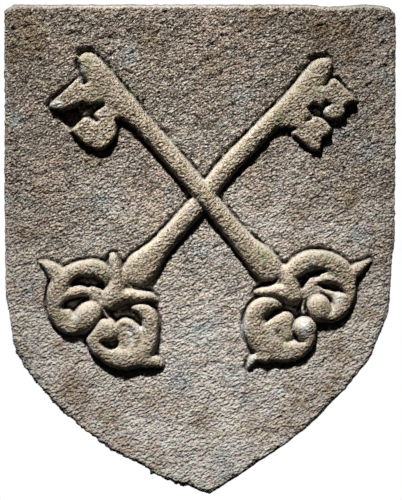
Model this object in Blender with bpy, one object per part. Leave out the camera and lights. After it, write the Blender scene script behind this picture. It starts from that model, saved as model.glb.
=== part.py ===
"""Stone wall shield, carved from one slab, with two crossed keys standing in relief.

Metres, +Z up. The carved front looks along -Y. The flat back lies in the plane Y = 0, and the
origin is the middle of that back, where the shield meets its wall.
"""
import math
from dataclasses import dataclass

import bmesh
import bpy
from mathutils import Matrix, Vector

# Shield, as a slab standing on edge
SHIELD_WIDTH = 0.400
SHIELD_HEIGHT = 0.500
SLAB_THICKNESS = 0.060        # from the wall to the sunk field around the keys
ARRIS_WIDTH = 0.007           # rounding of the worn front rim
LEFT_SIDE = 0.287             # straight run of each side, down from the top edge
RIGHT_SIDE = 0.241
LEFT_CORNER = 0.008           # clipped top left corner
RIGHT_CORNER = 0.013          # radius of the worn top right corner
FOOT_OFFSET = 0.010           # the foot point stands a little right of the middle
LEFT_SWELL = 0.130            # how far the sides keep on straight before they turn in
RIGHT_SWELL = 0.125
LEFT_FOOT_REACH = 0.065       # pull of the curves along their slope at the foot point
RIGHT_FOOT_REACH = 0.160
LEFT_FOOT_SLOPE = math.radians(17.5)
RIGHT_FOOT_SLOPE = math.radians(32.5)

# Keys: where each one's tip and collar stand, from the top edge and from the nearer side
UPPER_KEY_TIP_FROM_SIDE = 0.084
UPPER_KEY_TIP_FROM_TOP = 0.054
UPPER_KEY_COLLAR_FROM_SIDE = 0.114
UPPER_KEY_COLLAR_FROM_TOP = 0.291
UNDER_KEY_TIP_FROM_SIDE = 0.071
UNDER_KEY_TIP_FROM_TOP = 0.057
UNDER_KEY_COLLAR_FROM_SIDE = 0.116
UNDER_KEY_COLLAR_FROM_TOP = 0.297
UPPER_KEY_RELIEF = 0.0130     # how far each shaft stands out of the field
UNDER_KEY_RELIEF = 0.0105

# Shafts, shared by both keys
SHAFT_WIDTH = 0.0195
SHAFT_WIDTH_AT_BIT = 0.027
SHAFT_SHIFT_AT_BIT = 0.004    # the shaft thickens there on the bit's side
FLARE_LENGTH = 0.046          # from the plain shaft to its blunt end
FLARE_END_GAP = 0.016         # from the blunt end to the middle of the collar

# Bits, measured from the tip along the shaft and from the axis outwards
BIT_THICKNESS_SHARE = 0.88    # of the shaft's own relief
BIT_EDGE_ROUNDING = 0.0022
WARD_WEB = 0.020              # uncut stone between the axis and the foot of the slot
WARD_SLOT_WIDTH = 0.014
WARD_ARM_WIDTH = 0.008
WARD_ARM_FROM_AXIS = 0.033
END_NOTCH_WIDTH = 0.010
NECK_CUT = 0.0095             # how far the bit is cut in where it meets the shaft
NECK_CUT_HEIGHT = 0.010
BIT_CORNER_CUT = 0.008

# Bows: two scrolls either side of the axis, springing from the collar
BOW_RELIEF = 0.0125
BOSS_RELIEF = 0.0140          # the bosses stand a little proud of their bands
SCROLL_RADIUS = 0.030         # to the middle of the band
SCROLL_BAND_WIDTH = 0.0175
SCROLL_TIGHTENING = 0.40      # share of the radius lost where the band turns in to its boss
OUTER_SPRING = 1.12           # share of the radius at which each band leaves the collar
INNER_SPRING = 0.92
SCROLL_ALONG = 0.024          # scroll centres, on from the collar and out from the axis
OUTER_SCROLL_ACROSS = 0.0235
INNER_SCROLL_ACROSS = 0.0282
OUTER_BOSS_LENGTH = 0.035
OUTER_BOSS_WIDTH = 0.026
INNER_BOSS_LENGTH = 0.0265
INNER_BOSS_WIDTH = 0.0225
CURL_WIDTH = 0.0105           # the thin leaf curling inside each scroll
CURL_RELIEF = 0.0095
EYE_WIDTH = 0.032             # low rise of stone left standing inside each scroll
EYE_RELIEF = 0.0045
HOOK_WIDTH = 0.019            # pointed leaf hooking outwards from each scroll
HOOK_LENGTH = 0.024
HOOK_POINT_RELIEF = 0.004
COLLAR_ARM_WIDTH = 0.0125
COLLAR_NOSE_WIDTH = 0.0215
COLLAR_NOSE_LENGTH = 0.014    # how far it runs on between the scrolls
COLLAR_RELIEF = 0.0140
COLLAR_HORN_RELIEF = 0.006

# Making
ROOT_DEPTH = 0.004            # how deep each relief form is bedded in the slab
SECTION_FULLNESS = 0.62       # 1 is a round section, less is squarer with steeper flanks
SECTION_POINTS = 8
FLANK_START = math.radians(12)
STATION_SPACING = 0.0044
CURVE_STEPS = 12
RIM_STEPS = 3                 # facets across each rounded rim
BOSS_SEGMENTS = 14
BOSS_RINGS = 8
SAME_PLACE = 1e-6             # points nearer together than this are one point
STRAIGHT_WITHIN = math.radians(0.4)
SHARP_FROM = math.radians(35)


@dataclass(frozen=True)
class Key:
    """One key's placing on the shield and the sizes in which it differs from the other."""

    name: str
    tip: Vector
    collar: Vector
    handed: int               # which side of the axis the bit lies on
    relief: float
    bit_from_tip: float
    bit_width: float
    bit_reach: float
    slot_from_tip: float
    ward_arms: tuple          # how far each arm of the cross cut runs out from the slot's middle
    end_notch_depth: float
    flare_width: float
    collar_horns: tuple       # (back along the shaft, out from the axis) of the horn tips
    inner_boss_along: float
    outer_hook_lean: tuple    # how far along the axis each hook's root and point lie
    inner_hook_lean: tuple

    def length(self):
        return (self.collar - self.tip).length

    def along(self):
        return (self.collar - self.tip).normalized()

    def across(self):
        """Direction from the axis towards the bit."""
        way = self.along()
        return Vector((-way.y, way.x)) * self.handed

    def at(self, along, across):
        """Point on the field, measured from the middle of the collar."""
        return self.collar + self.along() * along + self.across() * across


def corner_place(from_side, from_top, side):
    """Point set out from the top edge and the left (-1) or right (+1) side."""
    return Vector((side * (SHIELD_WIDTH / 2 - from_side), SHIELD_HEIGHT / 2 - from_top))


UPPER_KEY = Key(
    name="upper_key",
    tip=corner_place(UPPER_KEY_TIP_FROM_SIDE, UPPER_KEY_TIP_FROM_TOP, -1),
    collar=corner_place(UPPER_KEY_COLLAR_FROM_SIDE, UPPER_KEY_COLLAR_FROM_TOP, +1),
    handed=-1,
    relief=UPPER_KEY_RELIEF,
    bit_from_tip=0.014,
    bit_width=0.069,
    bit_reach=0.062,
    slot_from_tip=0.039,
    ward_arms=(0.011, 0.024),
    end_notch_depth=0.004,
    flare_width=0.030,
    collar_horns=(0.017, 0.025),
    inner_boss_along=0.043,
    outer_hook_lean=(0.035, 0.034),
    inner_hook_lean=(0.036, 0.039),
)
UNDER_KEY = Key(
    name="under_key",
    tip=corner_place(UNDER_KEY_TIP_FROM_SIDE, UNDER_KEY_TIP_FROM_TOP, +1),
    collar=corner_place(UNDER_KEY_COLLAR_FROM_SIDE, UNDER_KEY_COLLAR_FROM_TOP, -1),
    handed=+1,
    relief=UNDER_KEY_RELIEF,
    bit_from_tip=0.012,
    bit_width=0.068,
    bit_reach=0.051,
    slot_from_tip=0.046,
    ward_arms=(0.014, 0.014),
    end_notch_depth=0.008,
    flare_width=0.035,
    collar_horns=(0.027, 0.032),
    inner_boss_along=0.034,
    outer_hook_lean=(0.026, 0.027),
    inner_hook_lean=(0.029, 0.024),
)


def clear_scene():
    """Remove every object, and the data and collections left without users."""
    for item in list(bpy.data.objects):
        bpy.data.objects.remove(item, do_unlink=True)
    for collection in list(bpy.data.collections):
        bpy.data.collections.remove(collection)
    for group in (bpy.data.meshes, bpy.data.curves, bpy.data.materials):
        for block in list(group):
            group.remove(block)


def add_collection(name):
    collection = bpy.data.collections.new(name)
    bpy.context.scene.collection.children.link(collection)
    return collection


def sandstone():
    """Buff, coarse-grained sandstone, dry and matt."""
    material = bpy.data.materials.new("sandstone")
    material.use_nodes = True
    shader = material.node_tree.nodes["Principled BSDF"]
    shader.inputs["Base Color"].default_value = (0.42, 0.34, 0.26, 1.0)
    shader.inputs["Roughness"].default_value = 0.92
    shader.inputs["Metallic"].default_value = 0.0
    return material


def object_from_mesh(mesh_name, mesh_cage, collection, material):
    """Turn a finished bmesh into an object of its own."""
    bmesh.ops.recalc_face_normals(mesh_cage, faces=mesh_cage.faces)
    mesh = bpy.data.meshes.new(mesh_name)
    mesh_cage.to_mesh(mesh)
    mesh_cage.free()
    mesh.materials.append(material)
    item = bpy.data.objects.new(mesh_name, mesh)
    collection.objects.link(item)
    return item


def filled_solid(name, curve, back, front, rim_rounding, collection, material):
    """Solid between two depths from a flat outline, with its front rim rounded over."""
    curve.dimensions = '2D'
    curve.fill_mode = 'BOTH'
    curve.extrude = (front - back) / 2
    outline = bpy.data.objects.new(f"{name}_outline", curve)
    collection.objects.link(outline)
    outline.rotation_euler = (math.radians(90), 0, 0)
    outline.location = (0, -(front + back) / 2, 0)
    bpy.context.view_layer.update()
    evaluated = outline.evaluated_get(bpy.context.evaluated_depsgraph_get())
    flat_mesh = bpy.data.meshes.new_from_object(evaluated)
    placing = outline.matrix_world.copy()
    bpy.data.objects.remove(outline, do_unlink=True)

    cage = bmesh.new()
    cage.from_mesh(flat_mesh)
    bpy.data.meshes.remove(flat_mesh)
    bmesh.ops.transform(cage, matrix=placing, verts=cage.verts)
    bmesh.ops.remove_doubles(cage, verts=cage.verts, dist=SAME_PLACE)
    bmesh.ops.dissolve_limit(
        cage, angle_limit=STRAIGHT_WITHIN, verts=cage.verts, edges=cage.edges
    )
    rim = [
        edge
        for edge in cage.edges
        if all(abs(corner.co.y + front) < SAME_PLACE for corner in edge.verts)
    ]
    bmesh.ops.bevel(
        cage,
        geom=rim,
        offset=rim_rounding,
        segments=RIM_STEPS,
        profile=0.5,
        affect='EDGES',
        clamp_overlap=True,
    )
    return object_from_mesh(name, cage, collection, material)


def shield_curve():
    """Outline of the shield: straight top, upright sides, and two unlike curves to the foot."""
    left = -SHIELD_WIDTH / 2
    right = SHIELD_WIDTH / 2
    top = SHIELD_HEIGHT / 2
    foot = Vector((FOOT_OFFSET, -SHIELD_HEIGHT / 2))
    arc_pull = RIGHT_CORNER * 4 / 3 * (math.sqrt(2) - 1)
    corner_start = Vector((right - RIGHT_CORNER, top))
    corner_end = Vector((right, top - RIGHT_CORNER))
    right_end = Vector((right, top - RIGHT_SIDE))
    left_end = Vector((left, top - LEFT_SIDE))
    right_slope = Vector((math.cos(RIGHT_FOOT_SLOPE), math.sin(RIGHT_FOOT_SLOPE)))
    left_slope = Vector((-math.cos(LEFT_FOOT_SLOPE), math.sin(LEFT_FOOT_SLOPE)))
    # each row: point, pull on the way in, pull on the way out; None for a straight run
    stops = [
        (Vector((left + LEFT_CORNER, top)), None, None),
        (corner_start, None, Vector((arc_pull, 0))),
        (corner_end, Vector((0, arc_pull)), None),
        (right_end, None, Vector((0, -RIGHT_SWELL))),
        (foot, right_slope * RIGHT_FOOT_REACH, left_slope * LEFT_FOOT_REACH),
        (left_end, Vector((0, -LEFT_SWELL)), None),
        (Vector((left, top - LEFT_CORNER)), None, None),
    ]
    curve = bpy.data.curves.new("shield_outline", 'CURVE')
    spline = curve.splines.new('BEZIER')
    spline.bezier_points.add(len(stops) - 1)
    for index, (place, pull_in, pull_out) in enumerate(stops):
        before = stops[index - 1][0]
        after = stops[(index + 1) % len(stops)][0]
        point = spline.bezier_points[index]
        point.handle_left_type = 'FREE'
        point.handle_right_type = 'FREE'
        point.co = place.to_3d()
        point.handle_left = (place + (pull_in or (before - place) / 3)).to_3d()
        point.handle_right = (place + (pull_out or (after - place) / 3)).to_3d()
    spline.use_cyclic_u = True
    spline.resolution_u = CURVE_STEPS
    return curve


def section(half_width, height):
    """Cross-section of a carved ridge: steep flanks and a rounded back, bedded in the slab."""
    ring = [(half_width, -ROOT_DEPTH)]
    for index in range(SECTION_POINTS):
        turn = FLANK_START + (math.pi - 2 * FLANK_START) * index / (SECTION_POINTS - 1)
        side = math.copysign(abs(math.cos(turn)) ** SECTION_FULLNESS, math.cos(turn))
        ring.append((half_width * side, height * math.sin(turn) ** SECTION_FULLNESS))
    ring.append((-half_width, -ROOT_DEPTH))
    return ring


def ridge(name, stations, collection, material):
    """Loft a ridge through stations of (place, half width, height)."""
    cage = bmesh.new()
    rings = []
    for index, (place, half_width, height) in enumerate(stations):
        before = stations[max(index - 1, 0)][0]
        after = stations[min(index + 1, len(stations) - 1)][0]
        way = (after - before).normalized()
        sideways = Vector((-way.y, way.x))
        ring = []
        for offset, rise in section(half_width, height):
            spot = place + sideways * offset
            ring.append(cage.verts.new((spot.x, -(SLAB_THICKNESS + rise), spot.y)))
        rings.append(ring)
    for ring, following in zip(rings, rings[1:]):
        for index in range(len(ring)):
            turn = (index + 1) % len(ring)
            cage.faces.new((ring[index], ring[turn], following[turn], following[index]))
    cage.faces.new(rings[0])
    cage.faces.new(rings[-1])
    return object_from_mesh(name, cage, collection, material)


def blend_stations(key, knots):
    """Smooth path through knots of (along, across, half width, height) in a key's own frame."""
    rows = [Vector(knot) for knot in knots]
    rows.insert(0, rows[0] * 2 - rows[1])
    rows.append(rows[-1] * 2 - rows[-2])
    stations = []
    for before, start, end, after in zip(rows, rows[1:], rows[2:], rows[3:]):
        steps = max(2, round((end - start).xy.length / STATION_SPACING))
        for step in range(steps):
            share = step / steps
            bend = start * 2 + (end - before) * share
            bend += (before * 2 - start * 5 + end * 4 - after) * share ** 2
            bend += (start * 3 - before - end * 3 + after) * share ** 3
            stations.append(bend / 2)
    stations.append(rows[-2])
    return [(key.at(row[0], row[1]), row[2], row[3]) for row in stations]


def scroll_stations(key, centre, radius, spring, angles, tightens_from):
    """Band that springs thin from its start, follows a circle and then turns in to its boss."""
    half_width = SCROLL_BAND_WIDTH / 2
    start, end = (math.radians(angle) for angle in angles)
    tightens = math.radians(tightens_from)
    steps = max(8, round(abs(end - start) * radius / STATION_SPACING))
    stations = []
    for step in range(steps + 1):
        turn = start + (end - start) * step / steps
        swell = math.sin(min(3 * step / steps, 1) * math.pi / 2)
        turned_in = max(0, (turn - tightens) / (end - tightens))
        reach = radius * (spring + (1 - spring) * swell)
        reach *= 1 - SCROLL_TIGHTENING * turned_in ** 1.5
        place = key.at(centre[0] + reach * math.cos(turn), centre[1] + reach * math.sin(turn))
        width_here = half_width * (0.45 + 0.55 * swell) * (1 - 0.25 * turned_in)
        height_here = BOW_RELIEF * (0.75 + 0.25 * swell) * (1 - 0.15 * turned_in)
        stations.append((place, width_here, height_here))
    return stations


def boss(name, key, centre, length, width, height, turn, collection, material):
    """Rounded lump on the field, the upper part of a stretched ball."""
    cage = bmesh.new()
    bmesh.ops.create_uvsphere(cage, u_segments=BOSS_SEGMENTS, v_segments=BOSS_RINGS, radius=1)
    bmesh.ops.rotate(cage, verts=cage.verts, matrix=Matrix.Rotation(math.radians(90), 3, 'X'))
    way = key.along() * math.cos(turn) + key.across() * math.sin(turn)
    place = key.at(*centre)
    size = Matrix.Diagonal((length / 2, height + ROOT_DEPTH, width / 2)).to_4x4()
    slant = Matrix.Rotation(-math.atan2(way.y, way.x), 4, 'Y')
    seat = Matrix.Translation((place.x, -SLAB_THICKNESS + ROOT_DEPTH, place.y))
    bmesh.ops.transform(cage, matrix=seat @ slant @ size, verts=cage.verts)
    return object_from_mesh(name, cage, collection, material)


def add_shaft(key, collection, material):
    """Round-backed shaft from its blunt tip to the flare that the collar clasps."""
    tip = -key.length()
    half = SHAFT_WIDTH / 2
    bit_half = SHAFT_WIDTH_AT_BIT / 2
    shift = SHAFT_SHIFT_AT_BIT
    flare_half = key.flare_width / 2
    flare_end = -FLARE_END_GAP
    tall = key.relief
    knots = [
        (tip, shift * 0.4, half * 0.55, tall * 0.50),
        (tip + half * 0.30, shift * 0.6, half * 0.92, tall * 0.84),
        (tip + half, shift, bit_half * 0.96, tall),
        (tip + key.bit_from_tip + key.bit_width * 0.7, shift, bit_half, tall),
        (tip + key.bit_from_tip + key.bit_width + SHAFT_WIDTH, 0, half, tall),
        (flare_end - FLARE_LENGTH, 0, half, tall),
        (flare_end - FLARE_LENGTH * 0.50, 0, (half + flare_half) * 0.54, tall),
        (flare_end - FLARE_LENGTH * 0.28, 0, flare_half, tall),
        (flare_end - FLARE_LENGTH * 0.10, 0, flare_half * 0.86, tall * 0.95),
        (flare_end, 0, flare_half * 0.45, tall * 0.70),
    ]
    ridge(f"{key.name}_shaft", blend_stations(key, knots), collection, material)


def bit_outline(key):
    """Corners of the bit, as (from the tip, from the axis), round both prongs and their wards."""
    start = key.bit_from_tip
    end = start + key.bit_width
    slot_low = key.slot_from_tip - WARD_SLOT_WIDTH / 2
    slot_high = key.slot_from_tip + WARD_SLOT_WIDTH / 2
    arm_low = key.slot_from_tip - key.ward_arms[0]
    arm_high = key.slot_from_tip + key.ward_arms[1]
    arm_in = WARD_ARM_FROM_AXIS - WARD_ARM_WIDTH / 2
    arm_out = WARD_ARM_FROM_AXIS + WARD_ARM_WIDTH / 2
    reach = key.bit_reach
    neck_top = WARD_WEB + NECK_CUT_HEIGHT

    def notched_end(low, high):
        middle = (low + high) / 2
        return [
            (middle - END_NOTCH_WIDTH / 2, reach),
            (middle, reach - key.end_notch_depth),
            (middle + END_NOTCH_WIDTH / 2, reach),
        ]

    upper_prong = [
        (start + NECK_CUT * 0.7, 0),
        (start + NECK_CUT * 0.7, WARD_WEB),
        (start, WARD_WEB + NECK_CUT_HEIGHT * 0.3),
        (start, reach),
        *notched_end(start, slot_low),
        (slot_low, reach),
    ]
    ward_cut = [
        (slot_low, arm_out),
        (arm_low, arm_out),
        (arm_low, arm_in),
        (slot_low, arm_in),
        (slot_low, WARD_WEB),
        (slot_high, WARD_WEB),
        (slot_high, arm_in),
        (arm_high, arm_in),
        (arm_high, arm_out),
        (slot_high, arm_out),
    ]
    lower_prong = [
        (slot_high, reach),
        *notched_end(slot_high, end - BIT_CORNER_CUT),
        (end - BIT_CORNER_CUT, reach),
        (end, reach - BIT_CORNER_CUT * 1.5),
        (end, neck_top),
        (end - NECK_CUT, WARD_WEB),
        (end - NECK_CUT, 0),
    ]
    return upper_prong + ward_cut + lower_prong


def add_bit(key, collection, material):
    """Flat-faced bit with a cross-shaped ward cut, flush with the shaft that carries it."""
    outline = bit_outline(key)
    curve = bpy.data.curves.new(f"{key.name}_bit_outline", 'CURVE')
    spline = curve.splines.new('POLY')
    spline.points.add(len(outline) - 1)
    for point, (from_tip, from_axis) in zip(spline.points, outline):
        place = key.at(from_tip - key.length(), from_axis)
        point.co = (place.x, place.y, 0, 1)
    spline.use_cyclic_u = True
    filled_solid(
        f"{key.name}_bit",
        curve,
        SLAB_THICKNESS - ROOT_DEPTH,
        SLAB_THICKNESS + key.relief * BIT_THICKNESS_SHARE,
        BIT_EDGE_ROUNDING,
        collection,
        material,
    )


def add_collar(key, collection, material):
    """Two arms that clasp the flare and run together into a nose between the scrolls."""
    arm = COLLAR_ARM_WIDTH / 2
    nose = COLLAR_NOSE_WIDTH / 2
    back, out = key.collar_horns
    for name, side in (("outer", -1), ("inner", +1)):
        knots = [
            (-back, side * out, arm * 0.30, COLLAR_HORN_RELIEF),
            (-back * 0.78, side * out * 0.72, arm * 0.85, COLLAR_RELIEF * 0.85),
            (-back * 0.42, side * out * 0.38, arm * 1.05, COLLAR_RELIEF),
            (0, side * nose * 0.25, nose * 0.85, COLLAR_RELIEF),
            (COLLAR_NOSE_LENGTH * 0.7, 0, nose, COLLAR_RELIEF * 0.97),
            (COLLAR_NOSE_LENGTH * 1.2, 0, nose * 0.75, COLLAR_RELIEF * 0.85),
            (COLLAR_NOSE_LENGTH * 1.5, 0, nose * 0.35, COLLAR_RELIEF * 0.55),
        ]
        stations = blend_stations(key, knots)
        ridge(f"{key.name}_{name}_collar_arm", stations, collection, material)


def add_hook(name, key, lean, foot, side, collection, material):
    """Pointed leaf from the scroll's outside, from its root at foot out to its point."""
    half = HOOK_WIDTH / 2
    root, point = lean
    tip = foot + HOOK_LENGTH
    leaf = [
        (root, side * foot, half, BOW_RELIEF * 0.90),
        (root * 0.6 + point * 0.4, side * (foot + tip) / 2, half * 0.66, BOW_RELIEF * 0.75),
        (point, side * tip, half * 0.14, HOOK_POINT_RELIEF),
    ]
    ridge(name, blend_stations(key, leaf), collection, material)


def add_outer_scroll(key, collection, material):
    """Scroll on the side away from the bit, with its boss, thin curl and hooked leaf."""
    name = f"{key.name}_outer"
    centre = (SCROLL_ALONG - 0.001, -OUTER_SCROLL_ACROSS)
    band = SCROLL_BAND_WIDTH / 2
    thin = CURL_WIDTH / 2
    ridge(
        f"{name}_scroll",
        scroll_stations(key, centre, SCROLL_RADIUS, OUTER_SPRING, (-196, 70), 14),
        collection,
        material,
    )
    boss(
        f"{name}_boss",
        key,
        (centre[0] + SCROLL_RADIUS * 0.48, centre[1] + SCROLL_RADIUS * 0.36),
        OUTER_BOSS_LENGTH,
        OUTER_BOSS_WIDTH,
        BOSS_RELIEF,
        math.radians(14),
        collection,
        material,
    )
    boss(
        f"{name}_eye",
        key,
        (centre[0] - SCROLL_RADIUS * 0.28, centre[1] + SCROLL_RADIUS * 0.18),
        EYE_WIDTH,
        EYE_WIDTH * 0.75,
        EYE_RELIEF,
        0,
        collection,
        material,
    )
    curl = [
        (centre[0] + SCROLL_RADIUS * 0.30, centre[1] - SCROLL_RADIUS * 0.72, thin, CURL_RELIEF),
        (centre[0] + SCROLL_RADIUS * 0.03, centre[1] - SCROLL_RADIUS * 0.58, thin, CURL_RELIEF),
        (centre[0] - SCROLL_RADIUS * 0.17, centre[1] - SCROLL_RADIUS * 0.33, thin, CURL_RELIEF),
        (centre[0] - SCROLL_RADIUS * 0.21, centre[1] - SCROLL_RADIUS * 0.05, thin * 0.6, EYE_RELIEF),
    ]
    ridge(f"{name}_curl", blend_stations(key, curl), collection, material)
    add_hook(
        f"{name}_hook",
        key,
        key.outer_hook_lean,
        OUTER_SCROLL_ACROSS + SCROLL_RADIUS + band * 0.75,
        -1,
        collection,
        material,
    )


def add_inner_scroll(key, collection, material):
    """Scroll on the bit's side, with its boss, crescent curl and hooked leaf."""
    name = f"{key.name}_inner"
    centre = (SCROLL_ALONG + 0.001, INNER_SCROLL_ACROSS)
    band = SCROLL_BAND_WIDTH / 2
    thin = CURL_WIDTH / 2
    radius = SCROLL_RADIUS * 0.97
    ridge(
        f"{name}_scroll",
        scroll_stations(key, centre, radius, INNER_SPRING, (214, -60), -30),
        collection,
        material,
    )
    boss(
        f"{name}_boss",
        key,
        (key.inner_boss_along, centre[1] - SCROLL_RADIUS * 0.50),
        INNER_BOSS_LENGTH,
        INNER_BOSS_WIDTH,
        BOSS_RELIEF,
        math.radians(-15),
        collection,
        material,
    )
    boss(
        f"{name}_eye",
        key,
        (centre[0] - SCROLL_RADIUS * 0.06, centre[1] + SCROLL_RADIUS * 0.22),
        EYE_WIDTH,
        EYE_WIDTH * 0.9,
        EYE_RELIEF,
        0,
        collection,
        material,
    )
    curl = [
        (centre[0] - SCROLL_RADIUS * 0.45, centre[1] - SCROLL_RADIUS * 0.20, thin * 0.5, EYE_RELIEF),
        (centre[0] - SCROLL_RADIUS * 0.50, centre[1] + SCROLL_RADIUS * 0.15, thin, CURL_RELIEF),
        (centre[0] - SCROLL_RADIUS * 0.30, centre[1] + SCROLL_RADIUS * 0.48, thin, CURL_RELIEF),
        (centre[0] + SCROLL_RADIUS * 0.05, centre[1] + SCROLL_RADIUS * 0.58, thin * 0.8, EYE_RELIEF),
    ]
    ridge(f"{name}_curl", blend_stations(key, curl), collection, material)
    add_hook(
        f"{name}_hook",
        key,
        key.inner_hook_lean,
        INNER_SCROLL_ACROSS + SCROLL_RADIUS + band * 0.1,
        +1,
        collection,
        material,
    )


def build():
    clear_scene()
    shield_parts = add_collection("carved_stone_shield")
    relief_forms = add_collection("relief_forms")
    material = sandstone()

    for key in (UNDER_KEY, UPPER_KEY):
        add_shaft(key, relief_forms, material)
        add_bit(key, relief_forms, material)
        add_outer_scroll(key, relief_forms, material)
        add_inner_scroll(key, relief_forms, material)
        add_collar(key, relief_forms, material)
    for form in relief_forms.objects:
        form.hide_render = True
        form.display_type = 'WIRE'

    shield = filled_solid(
        "carved_shield", shield_curve(), 0, SLAB_THICKNESS, ARRIS_WIDTH, shield_parts, material
    )
    union = shield.modifiers.new("relief", 'BOOLEAN')
    union.operation = 'UNION'
    union.operand_type = 'COLLECTION'
    union.collection = relief_forms
    union.solver = 'EXACT'
    shield.data.shade_smooth()
    shield.data.set_sharp_from_angle(angle=SHARP_FROM)


build()
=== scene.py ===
# %% [markdown]
# # A carved stone shield
#
# This notebook dresses the packed model of a stone coat of arms: a heater-shaped slab of
# sandstone with two crossed keys standing in relief. The packed solid has the right size and
# the main forms. Here the same stone is carved finely, weathered and coloured. The steps are
# those of a mason: draw, raise the forms, cut back, peck the ground, and leave it to the rain.
# The first step loads the packed model.

import bmesh
import bpy
import numpy as np
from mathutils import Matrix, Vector


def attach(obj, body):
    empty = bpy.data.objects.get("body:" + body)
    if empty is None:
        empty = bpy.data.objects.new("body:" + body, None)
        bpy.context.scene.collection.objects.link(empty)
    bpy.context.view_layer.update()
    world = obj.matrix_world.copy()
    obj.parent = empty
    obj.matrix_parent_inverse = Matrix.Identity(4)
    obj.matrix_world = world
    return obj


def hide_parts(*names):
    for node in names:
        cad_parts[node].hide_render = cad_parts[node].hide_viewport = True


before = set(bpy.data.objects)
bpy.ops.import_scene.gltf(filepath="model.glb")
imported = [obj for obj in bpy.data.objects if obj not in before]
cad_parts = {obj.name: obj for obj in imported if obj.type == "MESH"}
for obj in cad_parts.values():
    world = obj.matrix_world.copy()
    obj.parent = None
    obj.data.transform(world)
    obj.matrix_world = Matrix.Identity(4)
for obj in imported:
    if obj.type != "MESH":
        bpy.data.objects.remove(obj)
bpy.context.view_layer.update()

# %% [markdown]
# ## The squared drawing
#
# A carver sets out a coat of arms by drawing it full size on squared paper and pricking the
# lines through to the stone. The same is done here: every place on the face is given in squares
# from the top left corner of a drawing 490 squares tall, and every height in millimetres above
# the sunk field. The relief is then a height for each point of a fine grid, which numpy works
# out quickly and which can be blended, hollowed and worn like clay before any mesh exists.

# %% The squared drawing
SQUARES_TALL = 490
SQUARE = 0.500 / SQUARES_TALL         # metres to a square
MIDDLE_ACROSS = 200.0                 # the drawing's square at the shield's middle
MIDDLE_DOWN = 249.0
GRID_STEP = 0.5                       # squares between neighbouring heights
across_lines = np.arange(-6, 408, GRID_STEP)
down_lines = np.arange(-4, 504, GRID_STEP)
ACROSS, DOWN = np.meshgrid(across_lines, down_lines)
print("drawing:", ACROSS.shape, "heights, one every", round(GRID_STEP * SQUARE * 1000, 2), "mm")


# %% [markdown]
# ## Tools for raising and cutting
#
# Carved forms are of three kinds. A ridge follows a line, like the bands of the scrolls and the
# shafts, and swells and narrows on its way. A boss is a lump. A panel is flat on top with
# rounded edges, like the bits. Each tool gives the height of its form over a small window of
# the grid, and a soft maximum joins it to what is there, so that the meeting line is a tight
# fillet, as a chisel leaves it, rather than a mathematical crease. These first helpers draw a
# smooth line, choose the window, and give the rounded section and the soft maximum.

# %% Tools for raising and cutting
relief = np.zeros(ACROSS.shape)
NOWHERE = -9                          # mm, lower than any place, so it loses each maximum


def through(rows, spacing=0.8):
    """Smooth line through rows of numbers whose first two are a place on the drawing."""
    knots = np.array(rows, float)
    knots = np.vstack([2 * knots[0] - knots[1], knots, 2 * knots[-1] - knots[-2]])
    pieces = []
    for before, start, end, after in zip(knots, knots[1:], knots[2:], knots[3:]):
        steps = max(2, int(np.hypot(*(end - start)[:2]) / spacing))
        t = np.linspace(0, 1, steps, endpoint=False)[:, None]
        pieces.append(0.5 * (2 * start + (end - before) * t
                             + (2 * before - 5 * start + 4 * end - after) * t ** 2
                             + (3 * start - before - 3 * end + after) * t ** 3))
    return np.vstack(pieces + [knots[-2][None]])


def window(low_across, high_across, low_down, high_down):
    """The part of the grid that holds a form."""
    first_row = np.searchsorted(down_lines, low_down - 1)
    last_row = np.searchsorted(down_lines, high_down + 1)
    first_column = np.searchsorted(across_lines, low_across - 1)
    last_column = np.searchsorted(across_lines, high_across + 1)
    return np.s_[first_row:last_row, first_column:last_column]


def rounded(distance, fullness):
    """Section of a carved form: 1 on its middle, 0 at its foot, squarer for a high fullness."""
    inside = np.clip(distance, 0, 1)
    return (1 - inside ** fullness) ** (1 / fullness)


def soft_max(one, other, blend):
    share = np.clip(0.5 + 0.5 * (one - other) / blend, 0, 1)
    return other * (1 - share) + one * share + blend * share * (1 - share)


print("relief: flat,", relief.size, "heights")

# %% [markdown]
# ## Ridges and grooves
#
# A band of a scroll, a shaft and a groove are all drawn as a line of places, each with its own
# half width and height. Every point of the window takes the place on the line that is nearest in
# half widths, and the same search serves to raise a ridge or to cut a groove.

# %% Ridges and grooves
FAR = 9.0                             # half widths from a line that is out of reach
THINNEST = 0.3                        # squares


def ridge_over(rows):
    """Where a ridge lies: its window, the distance in half widths, and the height there."""
    line = through(rows)
    reach = line[:, 2].max()
    area = window(line[:, 0].min() - reach, line[:, 0].max() + reach,
                  line[:, 1].min() - reach, line[:, 1].max() + reach)
    nearest = np.full(ACROSS[area].shape, FAR)
    height = np.zeros(nearest.shape)
    for across, down, half_width, tall in line:
        distance = np.hypot(ACROSS[area] - across, DOWN[area] - down)
        distance /= max(half_width, THINNEST)
        closer = distance < nearest
        nearest[closer] = distance[closer]
        height[closer] = tall
    return area, nearest, height


def raise_ridge(rows, fullness=2.8, blend=0.7):
    """Ridge through rows of (across, down, half width, height)."""
    area, distance, height = ridge_over(rows)
    body = np.where(distance < 1, height * rounded(distance, fullness), NOWHERE)
    relief[area] = soft_max(relief[area], body, blend)


def cut_ridge(rows, fullness=2.0):
    """Groove through rows of (across, down, half width, depth)."""
    area, distance, depth = ridge_over(rows)
    relief[area] -= np.where(distance < 1, depth * rounded(distance, fullness), 0)


# %% [markdown]
# ## Bosses and chips
#
# A boss is an oval lump with a length, a width and a turn. The same oval, taken away instead of
# added, is a chip or a worn dent.

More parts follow.
